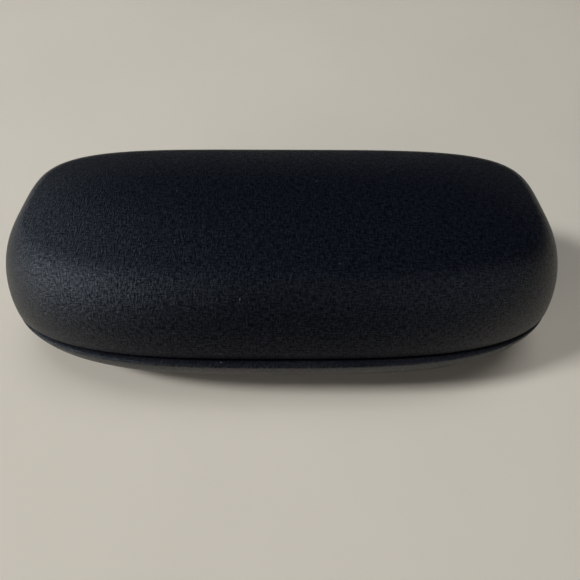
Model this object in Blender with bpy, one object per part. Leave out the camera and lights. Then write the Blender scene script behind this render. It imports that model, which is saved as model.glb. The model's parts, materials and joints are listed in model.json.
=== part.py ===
"""Hard clamshell eyeglasses case, as the separate pieces it is put together from.

Two pressed steel shells, a lid and a base, are wrapped in leatherette that is turned in over
their rims. Inside each shell lie a thin foam layer, a liner board and a velour lining. A sprung
knuckle hinge at the middle of the back joins them, riveted to the steel through its two leaves.

Frame: metres, +Z up, +X along the length, -Y to the front. The origin is under the middle of the
case, on the surface that it stands on. Depths into a wall are counted from its outer skin, and
heights within a half are counted away from the seam plane.
"""
import math
from dataclasses import dataclass

import bmesh
import bpy
import numpy as np

MM = 0.001

# Outline of the rims, seen from above
HALF_LENGTH = 82.0 * MM
BACK_DEPTH = 35.0 * MM
BASE_FRONT_DEPTH = 36.9 * MM
LID_FRONT_DEPTH = 35.2 * MM
BACK_POWER = 4.5
BASE_FRONT_POWER = 3.05
LID_FRONT_POWER = 3.2
OUTLINE_SAMPLES = 2000
RING_POINTS = 36

# Heights and corners of the two halves
SEAM_HEIGHT = 19.0 * MM
SEAM_GAP = 0.4 * MM
LID_WALL_HEIGHT = 22.5 * MM
LID_CORNER = 10.5 * MM
LID_DRAFT = 0.115
LID_CROWN = 6.5 * MM
BASE_CORNER = 15.0 * MM

# Depth of each layer's two faces in the wall
COVER_OUTER, COVER_INNER = 0.0, 0.7 * MM
STEEL_OUTER, STEEL_INNER = 1.0 * MM, 1.4 * MM
HEM_OUTER, HEM_INNER = 1.7 * MM, 2.4 * MM
FOAM_OUTER, FOAM_INNER = 1.7 * MM, 2.4 * MM
BOARD_OUTER, BOARD_INNER = 2.7 * MM, 3.2 * MM
VELOUR_OUTER, VELOUR_INNER = 3.5 * MM, 4.1 * MM

# Distance from the seam plane at which each layer's edge lies
STEEL_EDGE = 1.4 * MM
HEM_MIDDLE = 4.5 * MM
HEM_END = 7.6 * MM
FOAM_EDGE = 8.3 * MM
BOARD_EDGE = 2.2 * MM
VELOUR_EDGE = 1.8 * MM

# The liner stands in by this much behind the hinge, between these distances from the middle
HINGE_RELIEF = 1.1 * MM
RELIEF_FULL = 34.0 * MM
RELIEF_END = 48.0 * MM

# Profile stations, as angles from the wall's foot to the top, and as shares of the flat top
WALL_ANGLES = (12.0, 27.0, 45.0, 67.0, 90.0)
FIRST_STEP = 4.0
TOP_SHARE = 0.55

# Hinge
KNUCKLE_RADIUS = 1.9 * MM
KNUCKLE_BORE = 1.1 * MM
PIN_RADIUS = 0.8 * MM
PIN_HEAD_RADIUS = 1.5 * MM
PIN_HEAD_LENGTH = 0.7 * MM
BARREL_HALF = 31.0 * MM
CENTRE_KNUCKLE_HALF = 5.6 * MM
LID_KNUCKLE = (15.0 * MM, 22.8 * MM)
OUTER_KNUCKLE_START = 23.2 * MM
SIDE_GAP = 0.4 * MM
TURNING_GAP = 0.3 * MM
LEAF_OUTER, LEAF_INNER = 1.8 * MM, 2.5 * MM
LEAF_BEND = 3.2 * MM
LEAF_MIDDLE = 5.5 * MM
LEAF_END = 7.8 * MM
NOTCH_HALF = 32.5 * MM
NOTCH_INSET = 4.0 * MM
WINDOW_OUTER, WINDOW_INNER = 1.2 * MM, 3.0 * MM
WINDOW_START, WINDOW_END = 1.0 * MM, 8.6 * MM
CUT_MARGIN = 3.0 * MM
ROUND_SIDES = 24

# Springs
WIRE_RADIUS = 0.3 * MM
COIL_RADIUS = 1.45 * MM
COIL_TURNS = 4.5
COIL_SPAN = (6.5 * MM, 14.1 * MM)
LEG_DEPTH = 2.95 * MM
LEG_END = 6.0 * MM
LEG_BEND = 0.9 * MM
LEG_SLOT_HALF = 0.7 * MM
LEG_SLOT_INSET = 3.2 * MM
LEG_SLOT_HEIGHT = 2.4 * MM
STEPS_PER_TURN = 12

# Rivets
RIVET_PLACES = (-25.0 * MM, -9.0 * MM, 9.0 * MM, 25.0 * MM)
RIVET_HEIGHT = 5.2 * MM
RIVET_RADIUS = 0.8 * MM
RIVET_HOLE = 1.1 * MM
RIVET_HOLE_REACH = 2.5 * MM
RIVET_FLUSH_GAP = 0.05 * MM
RIVET_HEAD_RADIUS = 1.5 * MM
RIVET_HEAD_HEIGHT = 0.55 * MM
RIVET_SEAT_GAP = 0.2 * MM

AXIS_Y = BACK_DEPTH


@dataclass(frozen=True)
class Half:
    """One half of the case: up is +1 for the lid and -1 for the base."""
    name: str
    up: int
    front_depth: float
    front_power: float
    height: float
    corner: float
    draft: float
    crown: float


LID = Half(
    name="lid",
    up=1,
    front_depth=LID_FRONT_DEPTH,
    front_power=LID_FRONT_POWER,
    height=LID_WALL_HEIGHT,
    corner=LID_CORNER,
    draft=LID_DRAFT,
    crown=LID_CROWN,
)
BASE = Half(
    name="base",
    up=-1,
    front_depth=BASE_FRONT_DEPTH,
    front_power=BASE_FRONT_POWER,
    height=SEAM_HEIGHT,
    corner=BASE_CORNER,
    draft=0.0,
    crown=0.0,
)


# ---------------------------------------------------------------- scene and materials

def clear_scene():
    for item in list(bpy.data.objects):
        bpy.data.objects.remove(item, do_unlink=True)


def material(name, colour, roughness, metallic=0.0):
    made = bpy.data.materials.new(name)
    made.use_nodes = True
    shader = made.node_tree.nodes["Principled BSDF"]
    shader.inputs["Base Color"].default_value = (*colour, 1.0)
    shader.inputs["Roughness"].default_value = roughness
    shader.inputs["Metallic"].default_value = metallic
    return made


def add_object(name, mesh, finish=None):
    made = bpy.data.objects.new(name, mesh)
    bpy.context.scene.collection.objects.link(made)
    if finish:
        mesh.materials.append(finish)
    return made


def as_cutter(item):
    """Cutters and joining shapes stay out of the model."""
    item.hide_render = True
    item.display_type = "WIRE"
    return item


def boolean(target, operation, other):
    step = target.modifiers.new(f"{operation.lower()}_{other.name}", "BOOLEAN")
    step.operation = operation
    step.solver = "EXACT"
    step.object = other


def finish_mesh(shape, name, sharp_degrees=40.0):
    """Turns every face outwards and shades the round stretches smooth."""
    bmesh.ops.recalc_face_normals(shape, faces=shape.faces[:])
    mesh = bpy.data.meshes.new(name)
    shape.to_mesh(mesh)
    shape.free()
    mesh.shade_smooth()
    mesh.set_sharp_from_angle(angle=math.radians(sharp_degrees))
    return mesh


# ---------------------------------------------------------------- shells

def rim_outline(half):
    """Rounded outline |x/length|^p + |y/depth|^p = 1, its points spaced evenly on each side.

    The back is squarer than the front, so the two sides have their own powers and depths.
    """
    sides = []
    for direction, depth, power in ((1, BACK_DEPTH, BACK_POWER), (-1, half.front_depth, half.front_power)):
        angle = np.linspace(0.0, math.pi, OUTLINE_SAMPLES)
        reach = (np.abs(np.cos(angle)) ** power + np.abs(np.sin(angle)) ** power) ** (-1.0 / power)
        x = direction * HALF_LENGTH * reach * np.cos(angle)
        y = direction * depth * reach * np.sin(angle)
        run = np.concatenate(([0.0], np.cumsum(np.hypot(np.diff(x), np.diff(y)))))
        stops = np.linspace(0.0, run[-1], RING_POINTS // 2 + 1)[:-1]
        sides.append(np.column_stack((np.interp(stops, run, x), np.interp(stops, run, y))))
    return np.concatenate(sides)


def wall_inset(half, depth, height):
    """How far in from the rim's outer skin a layer lies at a height from the seam plane."""
    angle = math.asin(min(1.0, height / (half.height - depth)))
    return depth + (half.corner - depth) * (1.0 - math.cos(angle)) + half.draft * height


def ring(half, depth, height=None, angle=None, share=1.0, relief=0.0):
    """One closed ring of a layer, given by its height from the seam plane or its wall angle.

    The wall is a quarter ellipse from the rim to the flat top, leaning in by the draft. The
    top is crowned, share shrinks the ring towards its middle, and relief moves the back wall
    in behind the hinge.
    """
    if angle is None:
        angle = math.asin(min(1.0, height / (half.height - depth)))
    else:
        angle = math.radians(angle)
        height = (half.height - depth) * math.sin(angle)
    outline = rim_outline(half)
    inset = depth + (half.corner - depth) * (1.0 - math.cos(angle)) + half.draft * height
    fade = np.clip((RELIEF_END - np.abs(outline[:, 0])) / (RELIEF_END - RELIEF_FULL), 0.0, 1.0)
    fade = fade * fade * (3.0 - 2.0 * fade) * (outline[:, 1] > 0.0) * math.cos(angle)
    inset = inset + relief * fade
    x = outline[:, 0] * (1.0 - inset / HALF_LENGTH) * share
    y = outline[:, 1] * (1.0 - inset / BACK_DEPTH) * share
    dome = half.crown * math.sin(angle)
    lift = dome * (1.0 - (y / BACK_DEPTH) ** 2) * (1.0 - (x / HALF_LENGTH) ** 4)
    z = SEAM_HEIGHT + half.up * (height + lift)
    return np.column_stack((x, y, z))


def layer_face(half, depth, edge, relief=0.0):
    """Rings of one face of a layer, from its edge to the middle of the top."""
    start = math.degrees(math.asin(edge / (half.height - depth)))
    rings = [ring(half, depth, height=edge, relief=relief)]
    rings += [ring(half, depth, angle=a, relief=relief) for a in WALL_ANGLES if a > start + FIRST_STEP]
    rings.append(ring(half, depth, angle=90.0, share=TOP_SHARE, relief=relief))
    return rings


def shell_mesh(name, rings):
    """Joins rings, outer face first, into one closed shell with a point at each end."""
    shape = bmesh.new()
    loops = [[shape.verts.new(point) for point in points] for points in rings]
    for lower, upper in zip(loops, loops[1:]):
        for i in range(RING_POINTS):
            j = (i + 1) % RING_POINTS
            shape.faces.new((lower[i], lower[j], upper[j], upper[i]))
    for loop, points in ((loops[0], rings[0]), (loops[-1], rings[-1])):
        middle = shape.verts.new((0.0, 0.0, points[:, 2].max()))
        for i in range(RING_POINTS):
            shape.faces.new((loop[i], loop[(i + 1) % RING_POINTS], middle))
    return finish_mesh(shape, name)


def make_layer(half, part, outer, inner, edge, finish, relief=0.0, inner_relief=None):
    """A plain layer between two depths: steel, foam, board or velour."""
    if inner_relief is None:
        inner_relief = relief
    rings = layer_face(half, outer, edge, relief)[::-1] + layer_face(half, inner, edge, inner_relief)
    name = f"{half.name}_{part}"
    return add_object(name, shell_mesh(name, rings), finish)


def make_cover(half, finish):
    """Leatherette over the outside, round the rim in a half circle, and turned in as a hem."""
    middle = (COVER_OUTER + HEM_INNER) / 2.0
    outer_bend = middle
    inner_bend = (HEM_OUTER - COVER_INNER) / 2.0
    bend_height = SEAM_GAP / 2.0 + outer_bend
    rings = layer_face(half, COVER_OUTER, bend_height)[::-1]
    for degrees in (45.0, 90.0, 135.0):
        turn = math.radians(degrees)
        depth = middle - outer_bend * math.cos(turn)
        rings.append(ring(half, depth, height=bend_height - outer_bend * math.sin(turn)))
    hem_heights = (bend_height, HEM_MIDDLE, HEM_END)
    rings += [ring(half, HEM_INNER, height=height) for height in hem_heights]
    rings += [ring(half, HEM_OUTER, height=height) for height in hem_heights[::-1]]
    rings.append(ring(half, middle, height=bend_height - inner_bend))
    rings += layer_face(half, COVER_INNER, bend_height)
    name = f"{half.name}_cover"
    return add_object(name, shell_mesh(name, rings), finish)


# ---------------------------------------------------------------- hinge

def add_rod(shape, start, end, radius):
    """Cylinder along the hinge axis, between two places along the length."""
    turns = np.linspace(0.0, 2.0 * math.pi, ROUND_SIDES, endpoint=False)
    profile = [(AXIS_Y + radius * math.cos(t), SEAM_HEIGHT + radius * math.sin(t)) for t in turns]
    add_extrusion(shape, profile, start, end)


def add_extrusion(shape, profile, start, end):
    """Prism along X from a closed (y, z) profile."""
    caps = [[shape.verts.new((x, y, z)) for y, z in profile] for x in (start, end)]
    count = len(profile)
    shape.faces.new(caps[0][::-1])
    shape.faces.new(caps[1])
    for i in range(count):
        j = (i + 1) % count
        shape.faces.new((caps[0][i], caps[0][j], caps[1][j], caps[1][i]))


def prism(name, profile, start, end):
    shape = bmesh.new()
    add_extrusion(shape, profile, start, end)
    return add_object(name, finish_mesh(shape, name))


def at(half, inset, height):
    """(y, z) of a point on the middle of the back, by its inset and height from the seam."""
    return (AXIS_Y - inset, SEAM_HEIGHT + half.up * height)


def wall_band(half, outer, inner, start, end):
    """Closed profile of the band between two depths in the back wall, between two heights."""
    heights = np.linspace(start, end, 4)
    out = [at(half, wall_inset(half, outer, h), h) for h in heights]
    back = [at(half, wall_inset(half, inner, h), h) for h in heights[::-1]]
    return out + back


def leaf_profile(half):
    """A leaf leaves its knuckles level, passes over the rim and bends along the steel."""
    thickness = LEAF_INNER - LEAF_OUTER
    low, high = KNUCKLE_RADIUS, KNUCKLE_RADIUS - thickness
    heights = (LEAF_BEND, LEAF_MIDDLE, LEAF_END)
    outer = [at(half, wall_inset(half, LEAF_OUTER, h), h) for h in heights]
    inner = [at(half, wall_inset(half, LEAF_INNER, h), h) for h in heights[::-1]]
    start = [at(half, 0.0, high), at(half, 0.0, low), at(half, wall_inset(half, LEAF_OUTER, low), low)]
    return start + outer + inner + [at(half, wall_inset(half, LEAF_INNER, high), high)]


def wall_lean(half):
    """Angle by which the back wall leans in at the rivets."""
    low = wall_inset(half, LEAF_INNER, RIVET_HEIGHT - RIVET_HEAD_RADIUS)
    high = wall_inset(half, LEAF_INNER, RIVET_HEIGHT + RIVET_HEAD_RADIUS)
    return math.atan2(high - low, 2.0 * RIVET_HEAD_RADIUS)


def place_on_wall(item, half, place):
    """Turns a part made along +Z so that it points inwards from the back wall at a rivet."""
    y, z = at(half, wall_inset(half, LEAF_INNER, RIVET_HEIGHT), RIVET_HEIGHT)
    item.location = (place, y, z)
    item.rotation_euler = (math.pi / 2.0 + half.up * wall_lean(half), 0.0, 0.0)


def turned(name, profile, finish=None, sides=16):
    """Solid turned about Z from (radius, height) pairs that start and end on the axis."""
    shape = bmesh.new()
    loops = []
    for radius, height in profile[1:-1]:
        turns = np.linspace(0.0, 2.0 * math.pi, sides, endpoint=False)
        loops.append([shape.verts.new((radius * math.cos(t), radius * math.sin(t), height)) for t in turns])
    for lower, upper in zip(loops, loops[1:]):
        for i in range(sides):
            j = (i + 1) % sides
            shape.faces.new((lower[i], lower[j], upper[j], upper[i]))
    for loop, (_, height) in ((loops[0], profile[0]), (loops[-1], profile[-1])):
        middle = shape.verts.new((0.0, 0.0, height))
        for i in range(sides):
            shape.faces.new((loop[i], loop[(i + 1) % sides], middle))
    return add_object(name, finish_mesh(shape, name), finish)


def make_rivets(half, finish):
    """Rivets through the leaf and the steel, flush outside and domed inside."""
    tail = -(LEAF_INNER - STEEL_OUTER - RIVET_FLUSH_GAP)
    seat = RIVET_SEAT_GAP
    profile = (
        (0.0, tail),
        (RIVET_RADIUS, tail),
        (RIVET_RADIUS, seat),
        (RIVET_HEAD_RADIUS, seat),
        (RIVET_HEAD_RADIUS, seat + RIVET_HEAD_HEIGHT * 0.4),
        (RIVET_HEAD_RADIUS * 0.6, seat + RIVET_HEAD_HEIGHT * 0.85),
        (0.0, seat + RIVET_HEAD_HEIGHT),
    )
    for number, place in enumerate(RIVET_PLACES, start=1):
        place_on_wall(turned(f"{half.name}_rivet_{number}", profile, finish), half, place)


def rivet_hole_cutters(half):
    low, high = -RIVET_HOLE_REACH, RIVET_HOLE_REACH
    profile = ((0.0, low), (RIVET_HOLE, low), (RIVET_HOLE, high), (0.0, high))
    cutters = []
    for number, place in enumerate(RIVET_PLACES, start=1):
        cutter = as_cutter(turned(f"{half.name}_rivet_hole_{number}", profile))
        place_on_wall(cutter, half, place)
        cutters.append(cutter)
    return cutters


def mirrored(span):
    """A span along the length and its mirror image on the other side of the middle."""
    start, end = span
    return [(-end, -start), (start, end)]


def knuckle_spans(half):
    if half is LID:
        return mirrored(LID_KNUCKLE)
    return mirrored((OUTER_KNUCKLE_START, BARREL_HALF)) + [(-CENTRE_KNUCKLE_HALF, CENTRE_KNUCKLE_HALF)]


def cleared_spans(half):
    """Stretches of the barrel that belong to the other leaf or to a spring."""
    spring = (CENTRE_KNUCKLE_HALF, LID_KNUCKLE[0])
    if half is LID:
        others = mirrored((OUTER_KNUCKLE_START - SIDE_GAP, NOTCH_HALF))
        return others + [(-LID_KNUCKLE[0], LID_KNUCKLE[0])]
    return mirrored((spring[0], LID_KNUCKLE[1] + SIDE_GAP))


def leg_place(half):
    """Place along the length of a spring's leg on this half: outer for the base, inner for the lid."""
    return COIL_SPAN[1] if half is BASE else COIL_SPAN[0]


def rods_cutter(name, spans, radius):
    shape = bmesh.new()
    for start, end in spans:
        add_rod(shape, start, end, radius)
    return as_cutter(add_object(name, finish_mesh(shape, name)))


def cut_profile(half, inset, low, high):
    """Rectangle from behind the case to an inset, between two heights from the seam plane."""
    corners = ((-CUT_MARGIN, low), (inset, low), (inset, high), (-CUT_MARGIN, high))
    return [at(half, depth, height) for depth, height in corners]


def leg_slots(half):
    """Slots that let the springs' legs through a leaf."""
    shape = bmesh.new()
    for side in (-1, 1):
        middle = side * leg_place(half)
        profile = cut_profile(half, LEG_SLOT_INSET, 0.0, LEG_SLOT_HEIGHT)
        add_extrusion(shape, profile, middle - LEG_SLOT_HALF, middle + LEG_SLOT_HALF)
    name = f"{half.name}_leg_slots"
    return as_cutter(add_object(name, finish_mesh(shape, name)))


def make_leaf(half, finish, hole_cutters):
    """A leaf: bent plate with knuckles rolled at its edge, bored for the pin and holed for rivets."""
    name = f"{half.name}_hinge_leaf"
    leaf = prism(name, leaf_profile(half), -BARREL_HALF, BARREL_HALF)
    leaf.data.materials.append(finish)
    clearance = KNUCKLE_RADIUS + TURNING_GAP
    boolean(leaf, "DIFFERENCE", rods_cutter(f"{half.name}_turning_space", cleared_spans(half), clearance))
    boolean(leaf, "UNION", rods_cutter(f"{half.name}_knuckles", knuckle_spans(half), KNUCKLE_RADIUS))
    bore = rods_cutter(f"{half.name}_pin_bore", [(-NOTCH_HALF, NOTCH_HALF)], KNUCKLE_BORE)
    boolean(leaf, "DIFFERENCE", bore)
    boolean(leaf, "DIFFERENCE", leg_slots(half))
    for cutter in hole_cutters:
        boolean(leaf, "DIFFERENCE", cutter)
    return leaf


def make_pin(finish):
    """Hinge pin with a formed head at each end, turned in one piece."""
    inner = BARREL_HALF + TURNING_GAP
    outer = inner + PIN_HEAD_LENGTH
    profile = (
        (0.0, -outer),
        (PIN_HEAD_RADIUS, -outer),
        (PIN_HEAD_RADIUS, -inner),
        (PIN_RADIUS, -inner),
        (PIN_RADIUS, inner),
        (PIN_HEAD_RADIUS, inner),
        (PIN_HEAD_RADIUS, outer),
        (0.0, outer),
    )
    pin = turned("hinge_pin", profile, finish, ROUND_SIDES)
    pin.location = (0.0, AXIS_Y, SEAM_HEIGHT)
    pin.rotation_euler = (0.0, math.pi / 2.0, 0.0)


def spring_route(side):
    """Wire of a torsion spring: base leg, coil about the pin, lid leg, from outside inwards."""
    turns = np.linspace(0.0, COIL_TURNS, int(COIL_TURNS * STEPS_PER_TURN) + 1)
    angle = -math.pi / 2.0 + 2.0 * math.pi * turns
    share = turns / COIL_TURNS
    x = side * (COIL_SPAN[1] + (COIL_SPAN[0] - COIL_SPAN[1]) * share)
    y = AXIS_Y + COIL_RADIUS * np.cos(angle)
    z = SEAM_HEIGHT + COIL_RADIUS * np.sin(angle)
    coil = list(zip(x, y, z))
    legs = []
    for half in (BASE, LID):
        place = side * leg_place(half)
        inset = wall_inset(half, LEG_DEPTH, LEG_END)
        corner = wall_inset(half, LEG_DEPTH, COIL_RADIUS + WIRE_RADIUS)
        legs.append([
            (place, *at(half, inset, LEG_END)),
            (place, *at(half, corner, COIL_RADIUS + LEG_BEND)),
            (place, *at(half, corner - LEG_BEND, COIL_RADIUS)),
        ])
    return legs[0] + coil + legs[1][::-1]


def make_spring(name, side, finish):
    """Torsion spring, as a bevelled wire with filled ends."""
    route = spring_route(side)
    wire = bpy.data.curves.new(name, "CURVE")
    wire.dimensions = "3D"
    wire.bevel_depth = WIRE_RADIUS
    wire.bevel_resolution = 1
    wire.use_fill_caps = True
    spline = wire.splines.new("POLY")
    spline.points.add(len(route) - 1)
    for point, place in zip(spline.points, route):
        point.co = (*place, 1.0)
    made = bpy.data.objects.new(name, wire)
    bpy.context.scene.collection.objects.link(made)
    wire.materials.append(finish)


# ---------------------------------------------------------------- assembly

def rim_notch(half):
    """Space for the barrel in the back rim of a half."""
    profile = cut_profile(half, NOTCH_INSET, -CUT_MARGIN, KNUCKLE_RADIUS + TURNING_GAP)
    return as_cutter(prism(f"{half.name}_rim_notch", profile, -NOTCH_HALF, NOTCH_HALF))


def hem_window(half):
    """The hem is cut away where the leaf lies on the steel."""
    profile = wall_band(half, WINDOW_OUTER, WINDOW_INNER, WINDOW_START, WINDOW_END)
    return as_cutter(prism(f"{half.name}_hem_window", profile, -NOTCH_HALF, NOTCH_HALF))


def make_half(half, finishes):
    cover = make_cover(half, finishes["leatherette"])
    steel = make_layer(half, "shell", STEEL_OUTER, STEEL_INNER, STEEL_EDGE, finishes["steel"])
    make_layer(half, "foam", FOAM_OUTER, FOAM_INNER, FOAM_EDGE, finishes["foam"],
               inner_relief=HINGE_RELIEF)
    make_layer(half, "liner_board", BOARD_OUTER, BOARD_INNER, BOARD_EDGE, finishes["board"], HINGE_RELIEF)
    make_layer(half, "velour", VELOUR_OUTER, VELOUR_INNER, VELOUR_EDGE, finishes["velour"], HINGE_RELIEF)
    notch = rim_notch(half)
    holes = rivet_hole_cutters(half)
    boolean(cover, "DIFFERENCE", notch)
    boolean(cover, "DIFFERENCE", hem_window(half))
    boolean(steel, "DIFFERENCE", notch)
    for cutter in holes:
        boolean(steel, "DIFFERENCE", cutter)
    make_leaf(half, finishes["hinge"], holes)
    make_rivets(half, finishes["rivet"])


def build():
    clear_scene()
    finishes = {
        "leatherette": material("leatherette", (0.012, 0.013, 0.020), 0.55),
        "steel": material("shell_steel", (0.42, 0.43, 0.44), 0.45, 1.0),
        "foam": material("foam", (0.35, 0.35, 0.36), 0.95),
        "board": material("liner_board", (0.30, 0.27, 0.23), 0.90),
        "velour": material("velour", (0.020, 0.021, 0.026), 0.95),
        "hinge": material("hinge_steel", (0.55, 0.56, 0.57), 0.30, 1.0),
        "rivet": material("rivet_steel", (0.60, 0.60, 0.60), 0.35, 1.0),
        "spring": material("spring_wire", (0.40, 0.40, 0.41), 0.30, 1.0),
    }
    for half in (BASE, LID):
        make_half(half, finishes)
    make_pin(finishes["hinge"])
    make_spring("left_spring", -1, finishes["spring"])
    make_spring("right_spring", 1, finishes["spring"])


build()
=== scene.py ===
"""Looks of a hard clamshell eyeglasses case: leatherette over pressed steel, lined with velour."""
import json
import math

import bpy
import numpy as np
from mathutils import Matrix


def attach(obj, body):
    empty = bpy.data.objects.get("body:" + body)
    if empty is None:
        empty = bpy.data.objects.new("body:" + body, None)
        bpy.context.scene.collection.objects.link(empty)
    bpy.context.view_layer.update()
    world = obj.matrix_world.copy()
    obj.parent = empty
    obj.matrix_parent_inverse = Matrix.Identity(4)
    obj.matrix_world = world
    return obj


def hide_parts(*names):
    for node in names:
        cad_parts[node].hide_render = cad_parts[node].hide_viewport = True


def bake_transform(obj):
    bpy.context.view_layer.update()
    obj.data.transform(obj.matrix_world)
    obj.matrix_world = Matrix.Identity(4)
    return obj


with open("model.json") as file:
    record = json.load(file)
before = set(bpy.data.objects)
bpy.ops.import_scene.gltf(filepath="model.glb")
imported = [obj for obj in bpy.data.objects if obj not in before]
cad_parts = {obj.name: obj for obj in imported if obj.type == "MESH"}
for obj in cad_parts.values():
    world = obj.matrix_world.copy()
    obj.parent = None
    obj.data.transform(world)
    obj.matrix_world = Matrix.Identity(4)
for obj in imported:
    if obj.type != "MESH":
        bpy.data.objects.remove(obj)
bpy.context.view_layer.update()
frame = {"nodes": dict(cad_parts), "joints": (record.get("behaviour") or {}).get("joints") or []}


# ==================================================================== base cover
# The leatherette over the base: one sheet glued to the outside of the pressed steel, turned
# round its rim in a tight fold and in again as a hem. At the back the rim steps down for the
# hinge, where the hem is pared thin so that the hinge leaf lies flat on the steel.

MM = 0.001
HALF_LENGTH = 82.0 * MM
BACK_DEPTH = 35.0 * MM
BACK_POWER = 4.5
AXIS_HEIGHT = frame["joints"][0]["pos_m"][2]
AXIS_BACK = frame["joints"][0]["pos_m"][1]

base = {
    "name": "base", "up": -1.0, "front": 36.9 * MM, "power": 3.05, "height": 19.0 * MM,
    "corner": 15.0 * MM, "draft": 0.0, "crown": 0.0, "fold_power": 3.2,
}

RING_COUNT = 520
NOTCH_HALF = 33.2 * MM
NOTCH_EASE = 1.0 * MM
RIM_LIFT = 0.2 * MM
NOTCH_RISE = 2.0 * MM
FOLD_RADIUS = 1.2 * MM
FOLD_INNER = 0.5 * MM
HEM_END = 7.6 * MM
PARED_HEM_END = 3.6 * MM
SKIN_THICKNESS = 0.7 * MM
HEM_OUTER, HEM_INNER = 1.7 * MM, 2.4 * MM
NOTCH_THINNER_FOLD = 0.35 * MM
NOTCH_THINNER_HEM = 0.7 * MM
NOTCH_HEM_SHIFT = 0.2 * MM
NOTCH_FADE = 8.0 * MM


def smooth_step(value):
    """3 t squared minus 2 t cubed of the value held between 0 and 1."""
    held = np.clip(value, 0.0, 1.0)
    return held * held * (3.0 - 2.0 * held)


def rim_outline(half):
    """Points and outward directions of |x/length|^p + |y/depth|^p = 1, by even steps of length.

    The steps are shortened near the two ends of the hinge notch, where the rim turns sharply.
    """
    places, ways = [], []
    for side, depth, power in ((1.0, BACK_DEPTH, BACK_POWER), (-1.0, half["front"], half["power"])):
        angle = np.linspace(0.0, math.pi, 6001)
        cos, sin = np.cos(angle), np.sin(angle)
        reach = (np.abs(cos) ** power + np.abs(sin) ** power) ** (-1.0 / power)
        x, y = side * HALF_LENGTH * reach * cos, side * depth * reach * sin
        near = np.exp(-(((np.abs(x) - NOTCH_HALF) / (2.2 * MM)) ** 2)) if side > 0 else 0.0 * x
        step = np.hypot(np.diff(x), np.diff(y)) * (1.0 + 4.0 * 0.5 * (near[1:] + near[:-1]))
        run = np.concatenate(([0.0], np.cumsum(step)))
        stops = np.linspace(0.0, run[-1], RING_COUNT // 2 + 1)[:-1]
        px, py = np.interp(stops, run, x), np.interp(stops, run, y)
        gx = np.sign(px) * (np.abs(px) / HALF_LENGTH) ** (power - 1.0) / HALF_LENGTH
        gy = np.sign(py) * (np.abs(py) / depth) ** (power - 1.0) / depth
        size = np.hypot(gx, gy)
        places.append(np.column_stack((px, py)))
        ways.append(np.column_stack((gx, gy)) / size[:, None])
    return np.concatenate(places), np.concatenate(ways)


def behind_hinge(outline, half_width, ease):
    """1 on the back of the outline between -half_width and half_width, easing to 0 beyond it."""
    return smooth_step((half_width + ease - np.abs(outline[:, 0])) / (2.0 * ease)) * (outline[:, 1] > 0.0)


def wall(half, outline, depth, height, share=1.0, relief=0.0):
    """A layer of a half at a depth under its skin and a height from the seam plane.

    The wall is a quarter ellipse: it leans in by corner * (1 - cos a), where sin a is the height
    over the half's own height, plus the draft. The top is domed by the crown. Depth, height
    and share are columns of stations, or whole grids, and the outline runs along the rows.
    """
    ratio = np.clip(height / (half["height"] - depth), 0.0, 1.0)
    lean = 1.0 - np.sqrt(1.0 - ratio * ratio)
    inset = depth + (half["corner"] - depth) * lean + half["draft"] * height
    inset = inset + relief * (1.0 - lean)
    x = outline[:, 0] * (1.0 - inset / HALF_LENGTH) * share
    y = outline[:, 1] * (1.0 - inset / BACK_DEPTH) * share
    dome = half["crown"] * ratio * (1.0 - (y / BACK_DEPTH) ** 2) * (1.0 - (x / HALF_LENGTH) ** 4)
    z = AXIS_HEIGHT + half["up"] * (height + dome)
    return np.stack(np.broadcast_arrays(x, y, z), axis=-1)


def face_stations(half, depth, edge, walls=34, tops=14):
    """Depth, height and share columns of one face of a layer, from its edge to near the middle."""
    tall = half["height"] - depth
    angle = np.linspace(math.asin(edge / tall), math.pi / 2.0, walls)
    height = np.concatenate((tall * np.sin(angle), np.full(tops, tall)))
    share = np.concatenate((np.ones(walls), np.linspace(1.0, 0.0, tops + 2)[1:-1]))
    return np.full(walls + tops, depth), height, share


def piece_mesh(name, vertices, faces, sheet=None, rub=None):
    """A smooth mesh from vertex and face arrays; sheet is each vertex's place on the flat sheet."""
    mesh = bpy.data.meshes.new(name)
    mesh.from_pydata(vertices, [], faces)
    mesh.shade_smooth()
    loops = np.empty(len(mesh.loops), np.int32)
    mesh.loops.foreach_get("vertex_index", loops)
    if sheet is not None:
        layer = mesh.uv_layers.new(name="sheet")
        layer.data.foreach_set("uv", sheet[loops].astype(np.float32).ravel())
    if rub is not None:
        layer = mesh.attributes.new("rub", "FLOAT", "POINT")
        layer.data.foreach_set("value", rub.astype(np.float32))
    piece = bpy.data.objects.new(name, mesh)
    bpy.context.scene.collection.objects.link(piece)
    return piece


def close_shell(half, grid):
    """Faces of a closed shell from a (stations, ring) grid, with a fan to a point at each end."""
    rows, ring = grid.shape[:2]
    index = np.arange(rows * ring).reshape(rows, ring)
    right = np.roll(index, -1, axis=1)
    quads = np.stack((index[:-1], right[:-1], right[1:], index[1:]), axis=-1).reshape(-1, 4)
    fans = []
    for row, pole, flip in ((0, rows * ring, 1), (-1, rows * ring + 1, -1)):
        fan = np.stack((np.full(ring, pole), index[row], right[row]), axis=-1)
        fans.append(fan[:, ::-flip])
    if half["up"] > 0:
        quads, fans = quads[:, ::-1], [fan[:, ::-1] for fan in fans]
    poles = np.stack((grid[0].mean(axis=0), grid[-1].mean(axis=0)))
    vertices = np.concatenate((grid.reshape(-1, 3), poles))
    return vertices, quads.tolist() + fans[0].tolist() + fans[1].tolist()


def sheet_places(grid, ways, share):
    """Where each point lies on the flat sheet: its plan place on the top, then straight on
    outwards by the length of the wall that it has run down."""
    top = int(np.argmax(share >= 1.0))
    down = np.linalg.norm(np.diff(grid[top:], axis=0), axis=2).cumsum(axis=0)
    flat = grid[..., :2].copy()
    flat[top + 1:] = grid[top, :, :2] + ways[None] * down[..., None]
    return flat


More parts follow.
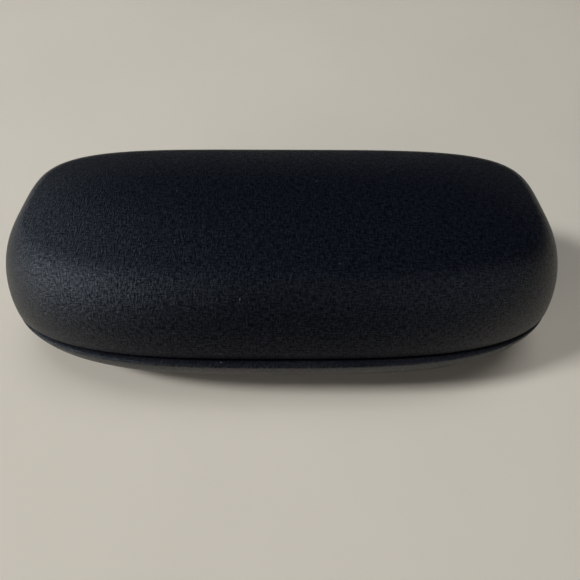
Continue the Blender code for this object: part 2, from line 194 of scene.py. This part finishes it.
def make_cover(half):
    """Sheet from the middle of the outside, down the wall, round the fold, up the hem, and back."""
    outline, ways = rim_outline(half)
    notch = behind_hinge(outline, NOTCH_HALF, NOTCH_EASE)
    edge = RIM_LIFT + FOLD_RADIUS
    depth, height, share = (column[::-1, None] for column in face_stations(half, 0.0, edge))
    lift = NOTCH_RISE * notch
    fade = np.clip(1.0 - (height - edge) / NOTCH_FADE, 0.0, 1.0) ** 2
    outer = wall(half, outline, depth, height + lift * fade, share)

    turn = np.linspace(0.0, math.pi, 15)[1:-1, None]
    bulge = 2.0 / half["fold_power"]
    across = np.sign(np.cos(turn)) * np.abs(np.cos(turn)) ** bulge
    along = np.sin(turn) ** bulge
    fold_width = FOLD_RADIUS - NOTCH_THINNER_FOLD * notch
    fold_depth = fold_width * (1.0 - across)
    fold = wall(half, outline, fold_depth, edge + lift - FOLD_RADIUS * along)

    hem_inner = HEM_INNER - NOTCH_THINNER_HEM * notch
    hem_outer = HEM_OUTER - NOTCH_HEM_SHIFT * notch
    hem_top = HEM_END + (PARED_HEM_END - HEM_END) * notch
    rise = np.linspace(0.0, 1.0, 7)[:, None]
    hem_height = (edge + lift) + (hem_top - edge - lift) * rise
    hem_in = wall(half, outline, hem_inner, hem_height)
    hem_out = wall(half, outline, hem_outer, hem_height[::-1])

    inner_turn = np.linspace(0.0, math.pi, 7)[1:-1, None]
    bend_depth = SKIN_THICKNESS + (hem_outer - SKIN_THICKNESS) * 0.5 * (1.0 + np.cos(inner_turn))
    bend = wall(half, outline, bend_depth, edge + lift - FOLD_INNER * np.sin(inner_turn))
    stations = face_stations(half, SKIN_THICKNESS, edge, 18, 4)
    depth, height, share_in = (column[:, None] for column in stations)
    fade = np.clip(1.0 - (height - edge) / NOTCH_FADE, 0.0, 1.0) ** 2
    inner = wall(half, outline, depth, height + lift * fade, share_in)

    grid = np.concatenate((outer, fold, hem_in, hem_out, bend, inner))
    sheet = sheet_places(grid, ways, np.concatenate((share.ravel(), np.ones(len(grid) - len(share)))))
    rub = np.zeros(grid.shape[:2])
    rub[len(outer) - 3:len(outer) + len(fold)] = 1.0
    vertices, faces = close_shell(half, grid)
    poles = np.zeros((2, 2))
    sheet = np.concatenate((sheet.reshape(-1, 2), poles))
    rub = np.concatenate((rub.ravel(), (0.0, 0.0)))
    piece = piece_mesh(f"{half['name']}_leatherette", vertices, faces, sheet, rub)
    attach(piece, half["name"])
    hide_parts(f"{half['name']}_cover")
    return piece


def add_node(tree, kind, inputs=None, **settings):
    """A shader node with its settings; an input is a value, or the (node, output) that feeds it."""
    made = tree.nodes.new("ShaderNode" + kind)
    for name, value in settings.items():
        setattr(made, name, value)
    for name, value in (inputs or {}).items():
        if isinstance(value, tuple) and isinstance(value[0], bpy.types.Node):
            tree.links.new(value[0].outputs[value[1]], made.inputs[name])
        else:
            made.inputs[name].default_value = value
    return made


def new_finish(name, **uniform):
    """A material whose Principled shader has its uniform values set on its own sockets."""
    finish = bpy.data.materials.new(name)
    finish.use_nodes = True
    shader = finish.node_tree.nodes["Principled BSDF"]
    for socket, value in uniform.items():
        shader.inputs[socket.replace("_", " ")].default_value = value
    return finish, finish.node_tree, shader


def stretched_noise(tree, source, stretch, detail=2.0):
    """Noise whose grain is drawn out: source coordinates times the stretch, in grains a metre."""
    scaled = add_node(tree, "VectorMath", {0: source, 1: stretch}, operation="MULTIPLY")
    return add_node(tree, "TexNoise", {"Vector": (scaled, 0), "Scale": 1.0, "Detail": detail})


GRAIN_FINE, GRAIN_LONG, GRAIN_PEBBLE, GRAIN_CLOUD = 2400.0, 660.0, 3000.0, 38.0
RELIEF_LOW, RELIEF_HIGH = 1.3, 1.85
CLOTH_DARK = (0.0005, 0.0009, 0.0025, 1.0)
CLOTH_LIGHT = (0.0064, 0.0094, 0.0175, 1.0)
RUBBED = (0.030, 0.031, 0.036, 1.0)
RUB_AMOUNT = 0.35
LINT = (0.16, 0.16, 0.16, 1.0)
LINT_CELLS, LINT_RADIUS, LINT_RARITY, LINT_AMOUNT = 210.0, 0.042, 0.84, 0.55


def leatherette_finish():
    """Near-black navy coated cloth. Two crossed sets of fine drawn-out grains give the linen
    emboss; sparse light specks are lint, and the rim's fold is rubbed a little lighter. The raised
    grain is glossier than the hollows."""
    finish, tree, shader = new_finish("leatherette")
    sheet = (add_node(tree, "UVMap", uv_map="sheet"), "UV")
    warp = stretched_noise(tree, sheet, (GRAIN_FINE, GRAIN_LONG, 1.0))
    weft = stretched_noise(tree, sheet, (GRAIN_LONG, GRAIN_FINE, 1.0))
    pebble = stretched_noise(tree, sheet, (GRAIN_PEBBLE, GRAIN_PEBBLE, 1.0), 3.0)
    cloud = stretched_noise(tree, sheet, (GRAIN_CLOUD, GRAIN_CLOUD, 1.0), 3.0)
    crossed = add_node(tree, "Math", {0: (warp, 0), 1: (weft, 0)}, operation="ADD")
    relief = add_node(tree, "Math", {0: (crossed, 0), 1: (pebble, 0)}, operation="ADD")
    bump = add_node(tree, "Bump", {"Strength": 0.8, "Distance": 0.00017, "Height": (relief, 0)})
    tree.links.new(bump.outputs[0], shader.inputs["Normal"])

    shade = add_node(tree, "MapRange", {"Value": (relief, 0), "From Min": RELIEF_LOW,
                                        "From Max": RELIEF_HIGH})
    cloth = add_node(tree, "MixRGB", {0: (shade, 0), 1: CLOTH_DARK, 2: CLOTH_LIGHT})
    rub = add_node(tree, "Attribute", attribute_name="rub")
    worn = add_node(tree, "Math", {0: (rub, "Fac"), 1: (cloud, 0)}, operation="MULTIPLY")
    worn = add_node(tree, "Math", {0: (worn, 0), 1: RUB_AMOUNT}, operation="MULTIPLY")
    rubbed = add_node(tree, "MixRGB", {0: (worn, 0), 1: (cloth, 0), 2: RUBBED})

    spread = add_node(tree, "VectorMath", {0: sheet, 1: (LINT_CELLS, LINT_CELLS, 1.0)},
                      operation="MULTIPLY")
    cells = add_node(tree, "TexVoronoi", {"Vector": (spread, 0), "Scale": 1.0, "Randomness": 1.0})
    near = add_node(tree, "Math", {0: (cells, "Distance"), 1: LINT_RADIUS}, operation="LESS_THAN")
    chance = add_node(tree, "SeparateColor", {0: (cells, "Color")})
    rare = add_node(tree, "Math", {0: (chance, 0), 1: LINT_RARITY}, operation="GREATER_THAN")
    lint = add_node(tree, "Math", {0: (near, 0), 1: (rare, 0)}, operation="MULTIPLY")
    lint = add_node(tree, "Math", {0: (lint, 0), 1: LINT_AMOUNT}, operation="MULTIPLY")
    dusted = add_node(tree, "MixRGB", {0: (lint, 0), 1: (rubbed, 0), 2: LINT})
    tree.links.new(dusted.outputs[0], shader.inputs["Base Color"])

    rough = add_node(tree, "MapRange", {"Value": (cloud, 0), "From Min": 0.3, "From Max": 0.7,
                                        "To Min": 0.35, "To Max": 0.42})
    tree.links.new(rough.outputs[0], shader.inputs["Roughness"])
    gloss = add_node(tree, "MapRange", {"Value": (relief, 0), "From Min": RELIEF_LOW,
                                        "From Max": RELIEF_HIGH, "To Min": 0.16, "To Max": 0.66})
    tree.links.new(gloss.outputs[0], shader.inputs["Specular IOR Level"])
    return finish


leatherette = leatherette_finish()
base_cover = make_cover(base)
base_cover.data.materials.append(leatherette)


# ==================================================================== lid cover
# The same leatherette over the lid. The lid is deeper than the base and softly crowned, and
# its front edge stands back a little from the base's, with a rounder fold.

lid = {
    "name": "lid", "up": 1.0, "front": 35.2 * MM, "power": 3.2, "height": 22.5 * MM,
    "corner": 10.5 * MM, "draft": 0.115, "crown": 6.5 * MM, "fold_power": 2.0,
}

lid_cover = make_cover(lid)
lid_cover.data.materials.append(leatherette)


# ==================================================================== steel shells
# Each half is pressed from thin cold-rolled sheet, which gives the case its stiffness. The
# sheet's edge is cut straight, and dull drawing marks run along the length.

STEEL_OUTER, STEEL_INNER = 1.0 * MM, 1.4 * MM
STEEL_EDGE = 1.5 * MM
HINGE_BAY_HALF, HINGE_BAY_EASE = 40.0 * MM, 7.0 * MM


def make_layer(half, part, outer, inner, edge, relief=0.0, inner_relief=0.0):
    """A layer between two depths: its outer face, its cut edge and its inner face."""
    outline, _ = rim_outline(half)
    outline = outline[::4]
    notch = behind_hinge(outline, HINGE_BAY_HALF, HINGE_BAY_EASE)
    step = NOTCH_RISE * behind_hinge(outline, NOTCH_HALF, NOTCH_EASE) if part == "steel" else 0.0
    rows = []
    for depth, flip, stand_in in ((outer, -1, relief), (inner, 1, inner_relief)):
        d, h, s = (column[::flip, None] for column in face_stations(half, depth, edge, 16, 4))
        fade = np.clip(1.0 - (h - edge) / NOTCH_FADE, 0.0, 1.0) ** 2
        rows.append(wall(half, outline, d, h + step * fade, s, stand_in * notch))
    vertices, faces = close_shell(half, np.concatenate(rows))
    piece = piece_mesh(f"{half['name']}_{part}", vertices, faces)
    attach(piece, half["name"])
    return piece


def metal_finish(name, colour, roughness, stretch, grip):
    """Metal with fine marks drawn out along the length, and faint clouding of its shine."""
    finish, tree, shader = new_finish(name, Metallic=1.0)
    place = (add_node(tree, "TexCoord"), "Object")
    marks = stretched_noise(tree, place, stretch, 4.0)
    cloud = stretched_noise(tree, place, (160.0, 160.0, 160.0), 3.0)
    bump = add_node(tree, "Bump", {"Strength": grip, "Distance": 0.00002, "Height": (marks, 0)})
    tree.links.new(bump.outputs[0], shader.inputs["Normal"])
    dark = tuple(0.80 * c for c in colour) + (1.0,)
    tone = add_node(tree, "MixRGB", {0: (cloud, 0), 1: dark, 2: (*colour, 1.0)})
    tree.links.new(tone.outputs[0], shader.inputs["Base Color"])
    rough = add_node(tree, "MapRange", {"Value": (marks, 0), "From Min": 0.3, "From Max": 0.7,
                                        "To Min": roughness - 0.07, "To Max": roughness + 0.07})
    tree.links.new(rough.outputs[0], shader.inputs["Roughness"])
    return finish


shell_steel = metal_finish("shell_steel", (0.44, 0.45, 0.46), 0.42, (90.0, 4200.0, 4200.0), 0.4)
for half in (base, lid):
    steel = make_layer(half, "steel", STEEL_OUTER, STEEL_INNER, STEEL_EDGE)
    steel.data.materials.append(shell_steel)
    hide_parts(f"{half['name']}_shell")


# ==================================================================== foam and liner boards
# Under the lining lie a sheet of closed-cell foam, cut to end below the hem, and a pressed
# grey board that holds the velour in shape. Both stand in behind the hinge to clear its rivets.

HINGE_RELIEF = 1.1 * MM
FOAM_OUTER, FOAM_INNER, FOAM_EDGE = 1.7 * MM, 2.4 * MM, 8.3 * MM
BOARD_OUTER, BOARD_INNER, BOARD_EDGE = 2.7 * MM, 3.2 * MM, 3.9 * MM


def cellular_finish(name, dark, light, grains, depth):
    """Matte body with a pitted or fibrous surface: cell or fibre noise in tone and bump."""
    finish, tree, shader = new_finish(name, Roughness=0.92, Specular_IOR_Level=0.2)
    place = (add_node(tree, "TexCoord"), "Object")
    fibre = stretched_noise(tree, place, grains, 5.0)
    bump = add_node(tree, "Bump", {"Strength": 0.7, "Distance": depth, "Height": (fibre, 0)})
    tree.links.new(bump.outputs[0], shader.inputs["Normal"])
    tone = add_node(tree, "MixRGB", {0: (fibre, 0), 1: (*dark, 1.0), 2: (*light, 1.0)})
    tree.links.new(tone.outputs[0], shader.inputs["Base Color"])
    return finish


foam_sheet = cellular_finish("foam", (0.22, 0.22, 0.23), (0.42, 0.42, 0.43),
                             (1500.0, 1500.0, 1500.0), 0.0001)
grey_board = cellular_finish("liner_board", (0.22, 0.20, 0.17), (0.38, 0.34, 0.29),
                             (300.0, 1400.0, 1400.0), 0.00006)
for half in (base, lid):
    foam = make_layer(half, "foam_sheet", FOAM_OUTER, FOAM_INNER, FOAM_EDGE, 0.0, HINGE_RELIEF)
    foam.data.materials.append(foam_sheet)
    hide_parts(f"{half['name']}_foam")
    board = make_layer(half, "board", BOARD_OUTER, BOARD_INNER, BOARD_EDGE,
                       HINGE_RELIEF, HINGE_RELIEF)
    board.data.materials.append(grey_board)
    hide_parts(f"{half['name']}_liner_board")


# ==================================================================== velour linings
# Black short-pile velour drawn over each board. It rolls over the board's edge in a soft lip
# that covers the raw end of the hem.

LIP_RADIUS = 0.75 * MM
LIP_HEIGHT = 1.7 * MM
FLANGE_END = 3.3 * MM
FLANGE_THICKNESS = 0.35 * MM
PILE_FACE, VELOUR_BACK = 4.1 * MM, 3.5 * MM
SWELL = 0.05 * MM / 15.0


def make_velour(half):
    """Lining from the middle of its pile side up the wall, over the lip, down the flange and
    back along its underside; the pile swells by slow waves of a few thousandths of a millimetre."""
    outline, ways = rim_outline(half)
    relief = HINGE_RELIEF * behind_hinge(outline, HINGE_BAY_HALF, HINGE_BAY_EASE)
    lip_top = LIP_HEIGHT + LIP_RADIUS
    depth, height, share = (column[::-1, None] for column in face_stations(half, PILE_FACE, lip_top))
    inner = wall(half, outline, depth, height, share, relief)
    middle = PILE_FACE - LIP_RADIUS
    turn = np.linspace(0.0, math.pi, 13)[1:-1, None]
    lip = wall(half, outline, middle + LIP_RADIUS * np.cos(turn),
               LIP_HEIGHT + LIP_RADIUS * (1.0 - np.sin(turn)), 1.0, relief)
    drop = np.array((lip_top, FLANGE_END))[:, None]
    flange_depth = middle - LIP_RADIUS
    flange = wall(half, outline, flange_depth, drop, 1.0, relief)
    under = wall(half, outline, flange_depth + FLANGE_THICKNESS, drop[::-1], 1.0, relief)
    d, h, s = (column[:, None] for column in face_stations(half, VELOUR_BACK, lip_top, 18, 4))
    outer = wall(half, outline, d, h, s, relief)
    grid = np.concatenate((inner, lip, flange, under, outer))
    rows = len(inner) + len(lip)
    swell = SWELL * np.sin(grid[:rows, :, 0] * 260.0 + 1.3) * np.sin(grid[:rows, :, 1] * 330.0)
    grid[:rows, :, 2] += half["up"] * swell * np.linspace(1.0, 0.0, rows)[:, None]
    all_share = np.concatenate((share.ravel(), np.ones(len(grid) - len(share))))
    sheet = sheet_places(grid, ways, all_share)
    vertices, faces = close_shell(half, grid)
    flipped = [face[::-1] for face in faces]
    sheet = np.concatenate((sheet.reshape(-1, 2), np.zeros((2, 2))))
    piece = piece_mesh(f"{half['name']}_lining", vertices, flipped, sheet)
    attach(piece, half["name"])
    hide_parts(f"{half['name']}_velour")
    return piece


def velour_finish():
    """Short dark pile: strong sheen, fine upright grain, and broad strokes where it was brushed."""
    finish, tree, shader = new_finish("velour", Roughness=0.95, Specular_IOR_Level=0.15,
                                      Sheen_Weight=0.55, Sheen_Roughness=0.35)
    shader.inputs["Sheen Tint"].default_value = (0.75, 0.78, 0.90, 1.0)
    sheet = (add_node(tree, "UVMap", uv_map="sheet"), "UV")
    pile = stretched_noise(tree, sheet, (5200.0, 5200.0, 1.0), 3.0)
    strokes = stretched_noise(tree, sheet, (30.0, 85.0, 1.0), 4.0)
    bump = add_node(tree, "Bump", {"Strength": 0.8, "Distance": 0.00015, "Height": (pile, 0)})
    tree.links.new(bump.outputs[0], shader.inputs["Normal"])
    both = add_node(tree, "Math", {0: (pile, 0), 1: (strokes, 0)}, operation="MULTIPLY")
    shade = add_node(tree, "MapRange", {"Value": (both, 0), "From Min": 0.12, "From Max": 0.42})
    tone = add_node(tree, "MixRGB", {0: (shade, 0), 1: (0.006, 0.006, 0.008, 1.0),
                                     2: (0.034, 0.035, 0.042, 1.0)})
    tree.links.new(tone.outputs[0], shader.inputs["Base Color"])
    return finish


velour = velour_finish()
for half in (base, lid):
    make_velour(half).data.materials.append(velour)


# ==================================================================== hinge leaves and rivets
# Each leaf is a strip of nickel-plated steel. It leaves the barrel level, passes over the rim,
# bends along the inside of the shell, and its other edge is rolled into knuckles.

hinge_steel = metal_finish("hinge_steel", (0.60, 0.60, 0.59), 0.27, (260.0, 5200.0, 5200.0), 0.35)
rivet_steel = metal_finish("rivet_steel", (0.62, 0.61, 0.60), 0.30, (1800.0, 1800.0, 1800.0), 0.3)
for half in (base, lid):
    leaf = frame["nodes"][f"{half['name']}_hinge_leaf"]
    leaf.data.materials.clear()
    leaf.data.materials.append(hinge_steel)
    for number in range(1, 5):
        rivet = frame["nodes"][f"{half['name']}_rivet_{number}"]
        rivet.data.materials.clear()
        rivet.data.materials.append(rivet_steel)


# ==================================================================== hinge pin
# A plain steel pin through all the knuckles, with a formed head at each end.

pin = frame["nodes"]["hinge_pin"]
pin.data.materials.clear()
pin.data.materials.append(hinge_steel)


# ==================================================================== hinge springs
# Two torsion springs of drawn wire sit on the pin between the knuckles. One leg of each bears
# on the base and the other on the lid, so that they twist as the lid opens.

WIRE_RADIUS = 0.3 * MM
COIL_RADIUS = 1.45 * MM
COIL_TURNS = 4.5
COIL_START, COIL_END = 14.1 * MM, 6.5 * MM
LEG_DEPTH = 2.95 * MM
LEG_END = 6.0 * MM
LEG_BEND = 0.9 * MM


def wall_inset(half, depth, height):
    """How far in from the hinge's axis a layer lies on the middle of the back, at a height."""
    ratio = height / (half["height"] - depth)
    lean = 1.0 - math.sqrt(1.0 - ratio * ratio)
    return depth + (half["corner"] - depth) * lean + half["draft"] * height


def spring_path(side):
    """Base leg, helix about the pin and lid leg: the angle grows evenly along the coil."""
    turns = np.linspace(0.0, COIL_TURNS, 217)
    angle = -math.pi / 2.0 + 2.0 * math.pi * turns
    x = side * (COIL_START + (COIL_END - COIL_START) * turns / COIL_TURNS)
    coil = np.column_stack((x, AXIS_BACK + COIL_RADIUS * np.cos(angle),
                            AXIS_HEIGHT + COIL_RADIUS * np.sin(angle)))
    legs = []
    for half, place in ((base, side * COIL_START), (lid, side * COIL_END)):
        end = wall_inset(half, LEG_DEPTH, LEG_END)
        corner = wall_inset(half, LEG_DEPTH, COIL_RADIUS + LEG_BEND)
        bend = np.linspace(0.0, math.pi / 2.0, 7)
        insets = np.concatenate(([end], corner - LEG_BEND * (1.0 - np.cos(bend))))
        heights = np.concatenate(([LEG_END], COIL_RADIUS + LEG_BEND * (1.0 - np.sin(bend))))
        legs.append(np.column_stack((np.full(len(insets), place), AXIS_BACK - insets,
                                     AXIS_HEIGHT + half["up"] * heights)))
    return np.concatenate((legs[0], coil, legs[1][::-1]))


def wire_mesh(name, path, radius, sides=12):
    """Round wire along a path: circles square to it, turned on by the least twist, closed at
    both ends by small domes."""
    ahead = np.gradient(path, axis=0)
    ahead /= np.linalg.norm(ahead, axis=1)[:, None]
    across = np.cross(ahead, (1.0, 0.13, 0.07))
    across /= np.linalg.norm(across, axis=1)[:, None]
    up = np.cross(ahead, across)
    turn = np.linspace(0.0, 2.0 * math.pi, sides, endpoint=False)
    circle = np.cos(turn)[None, :, None] * across[:, None] + np.sin(turn)[None, :, None] * up[:, None]
    body = path[:, None] + radius * circle
    dome = np.radians((80.0, 55.0, 30.0))[:, None, None]
    first = path[0] + radius * (np.cos(dome) * circle[0] - np.sin(dome) * ahead[0])
    last = path[-1] + radius * (np.cos(dome) * circle[-1] + np.sin(dome) * ahead[-1])
    grid = np.concatenate((first, body, last[::-1]))
    vertices, faces = close_shell({"up": -1.0}, grid)
    return piece_mesh(name, vertices, faces)


spring_wire = metal_finish("spring_wire", (0.42, 0.42, 0.43), 0.30, (2600.0, 2600.0, 2600.0), 0.3)
for name, side in (("left_spring", -1.0), ("right_spring", 1.0)):
    spring = wire_mesh(f"{name}_wire", spring_path(side), WIRE_RADIUS)
    spring.data.materials.append(spring_wire)
    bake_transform(spring)
    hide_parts(name)


# ==================================================================== paper, light and camera
# The case lies on plain pale paper, seen from above its front at about 14 cm. Three lights only
# light surfaces and three only show as gloss, and a hidden black card dims the gloss of the front.

bpy.ops.mesh.primitive_plane_add(size=3.0, location=(0.0, 0.0, -0.0002))
paper = bpy.context.object
paper.name = "paper"
paper_finish, tree, shader = new_finish("paper", Roughness=0.85, Specular_IOR_Level=0.2)
place = (add_node(tree, "TexCoord"), "Object")
mottle = stretched_noise(tree, place, (9.0, 9.0, 9.0), 4.0)
paper_tone = add_node(tree, "MixRGB", {0: (mottle, 0), 1: (0.57, 0.545, 0.49, 1.0),
                                       2: (0.63, 0.605, 0.55, 1.0)})
tree.links.new(paper_tone.outputs[0], shader.inputs["Base Color"])
crease = add_node(tree, "Bump", {"Strength": 0.25, "Distance": 0.004, "Height": (mottle, 0)})
tree.links.new(crease.outputs[0], shader.inputs["Normal"])
paper.data.materials.append(paper_finish)


def aim(item, target):
    """Turns an object so that its -Z looks at the target."""
    way = np.array(target) - np.array(item.location)
    flat = math.hypot(way[0], way[1])
    item.rotation_euler = (math.atan2(flat, -way[2]), 0.0, math.atan2(-way[0], way[1]))


def soft_light(name, azimuth, elevation, distance, size, power, colour, sheen=True, wash=True):
    """A square soft light, placed by its direction in degrees; azimuth 0 is +X and 90 the back.

    With wash alone it only lights surfaces, and with sheen alone it only shows as gloss on them.
    """
    light = bpy.data.lights.new(name, "AREA")
    light.size = size
    light.energy = power
    light.color = colour
    item = bpy.data.objects.new(name, light)
    bpy.context.scene.collection.objects.link(item)
    turn, rise = math.radians(azimuth), math.radians(elevation)
    item.location = (distance * math.cos(rise) * math.cos(turn),
                     distance * math.cos(rise) * math.sin(turn), distance * math.sin(rise))
    aim(item, (0.0, 0.0, 0.02))
    item.visible_glossy = sheen
    item.visible_diffuse = wash


DAYLIGHT = (1.0, 0.985, 0.955)
WARM = (1.0, 0.88, 0.77)
COOL = (0.76, 0.88, 1.0)
soft_light("window", 186.0, 40.0, 2.4, 0.40, 42.0, DAYLIGHT, sheen=False)
soft_light("ceiling", 60.0, 80.0, 1.1, 0.60, 4.2, DAYLIGHT, sheen=False)
soft_light("front_fill", 226.0, 14.0, 1.0, 0.43, 3.0, WARM, sheen=False)
soft_light("left_panel", 212.0, 14.0, 0.7, 0.20, 2.1, COOL, wash=False)
soft_light("side_panel", 166.0, 32.0, 0.8, 0.40, 1.5, COOL, wash=False)
soft_light("right_panel", -50.0, 14.0, 0.7, 0.12, 0.34, COOL, wash=False)

CARD_LENGTH, CARD_DEPTH = 0.70, 0.45
CARD_PLACE = (0.03, -0.277, 0.0006)
bpy.ops.mesh.primitive_plane_add(size=1.0)
flag = bpy.context.object
flag.name = "flag"
flag.data.transform(Matrix.Translation(CARD_PLACE) @ Matrix.Diagonal((CARD_LENGTH, CARD_DEPTH, 1.0, 1.0)))
flag_finish, _, _ = new_finish("flag", Base_Color=(0.004, 0.004, 0.004, 1.0), Roughness=1.0)
flag.data.materials.append(flag_finish)
flag.visible_camera = flag.visible_diffuse = flag.visible_shadow = False

world = bpy.data.worlds.new("room")
world.use_nodes = True
world.node_tree.nodes["Background"].inputs[0].default_value = (0.90, 0.95, 1.0, 1.0)
world.node_tree.nodes["Background"].inputs[1].default_value = 0.035
bpy.context.scene.world = world
bpy.context.scene.view_settings.view_transform = "Standard"

CAMERA_RANGE = 140.97 * MM
CAMERA_RISE = 0.8786
CAMERA_PITCH = 0.9413
CAMERA_YAW = 0.0156
CAMERA_ROLL = 0.0130
CAMERA_SIDE = 0.73 * MM

lens = bpy.data.cameras.new("view")
lens.sensor_width = 36.0
lens.lens = 27.06
lens.clip_start = 0.01
camera = bpy.data.objects.new("view", lens)
bpy.context.scene.collection.objects.link(camera)
bpy.context.scene.camera = camera
camera.location = (CAMERA_SIDE, -CAMERA_RANGE * math.cos(CAMERA_RISE),
                   AXIS_HEIGHT + CAMERA_RANGE * math.sin(CAMERA_RISE))
camera.rotation_mode = "QUATERNION"
ahead = np.array((math.sin(CAMERA_YAW) * math.cos(CAMERA_PITCH),
                  math.cos(CAMERA_YAW) * math.cos(CAMERA_PITCH), -math.sin(CAMERA_PITCH)))
right = np.cross(ahead, (0.0, 0.0, 1.0))
right /= np.linalg.norm(right)
up = np.cross(right, ahead)
rolled = math.cos(CAMERA_ROLL) * right + math.sin(CAMERA_ROLL) * up
upright = -math.sin(CAMERA_ROLL) * right + math.cos(CAMERA_ROLL) * up
camera.rotation_quaternion = Matrix(np.stack((rolled, upright, -ahead), axis=1).tolist()).to_quaternion()
